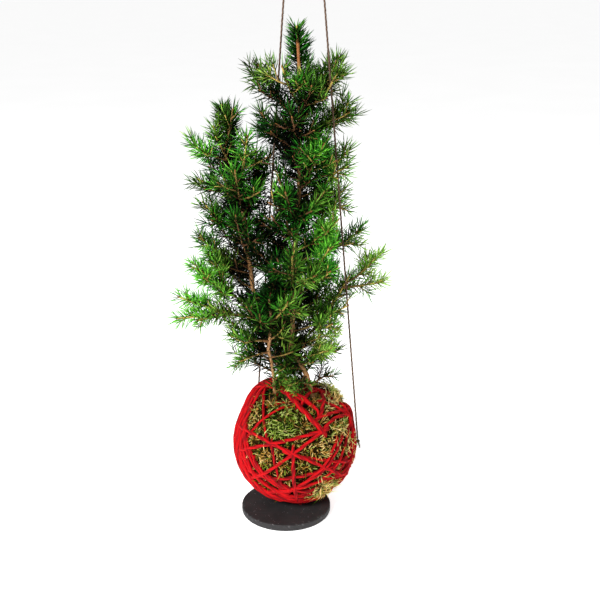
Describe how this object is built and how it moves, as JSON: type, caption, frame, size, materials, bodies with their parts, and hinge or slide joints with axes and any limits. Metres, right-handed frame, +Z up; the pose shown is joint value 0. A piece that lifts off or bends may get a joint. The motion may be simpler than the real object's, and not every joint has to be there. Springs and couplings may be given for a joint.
{
  "type": "kokedama moss ball plant",
  "caption": "Round moss ball wound with red yarn and planted with three young spruces, resting on a small flat black plate, with two jute strings.",
  "frame": {"origin": "middle of the plate's underside", "axes": "+Z up along the stems, +Y away from the pictured side, +X to its right"},
  "size_m": [0.2282, 0.1755, 0.5306],
  "materials": {
    "plate": "matte black slate with worn edges",
    "soil": "dark crumbly damp soil",
    "moss": "soft moss, yellow-green and dark green",
    "yarn": "red wool yarn, plied and slightly fuzzy",
    "jute": "thin twisted jute",
    "bark": "young spruce bark, light brown",
    "needles": "green spruce needles on brown twigs"
  },
  "bodies": {
    "root": {"plate": "plate", "soil_ball": "soil", "moss_cover": "moss", "yarn": "yarn", "tie_left": "jute", "string_left": "jute", "eye_left": "jute", "tie_right": "jute", "string_right": "jute", "eye_right": "jute", "stem_centre": "bark", "stem_left": "bark", "stem_front": "bark", "leader_centre": "needles", "leader_front": "needles", "leader_left": "needles", "spray_centre_01": "needles", "spray_centre_02": "needles", "spray_centre_03": "needles", "spray_centre_04": "needles", "spray_centre_05": "needles", "spray_centre_06": "needles", "spray_centre_07": "needles", "spray_centre_08": "needles", "spray_centre_09": "needles", "spray_centre_10": "needles", "spray_centre_11": "needles", "spray_centre_12": "needles", "spray_centre_13": "needles", "spray_centre_14": "needles", "spray_centre_15": "needles", "spray_centre_16": "needles", "spray_centre_17": "needles", "spray_centre_18": "needles", "spray_centre_19": "needles", "spray_centre_20": "needles", "spray_centre_21": "needles", "spray_centre_22": "needles", "spray_centre_23": "needles", "spray_centre_24": "needles", "spray_centre_25": "needles", "spray_centre_26": "needles", "spray_front_01": "needles", "spray_front_02": "needles", "spray_front_03": "needles", "spray_front_04": "needles", "spray_left_01": "needles", "spray_left_02": "needles", "spray_left_03": "needles", "spray_left_04": "needles", "spray_left_05": "needles", "spray_left_06": "needles", "spray_left_07": "needles", "spray_left_08": "needles", "spray_left_09": "needles", "spray_left_10": "needles", "spray_left_11": "needles", "spray_left_12": "needles", "spray_left_13": "needles", "spray_left_14": "needles"}
  },
  "joints": []
}
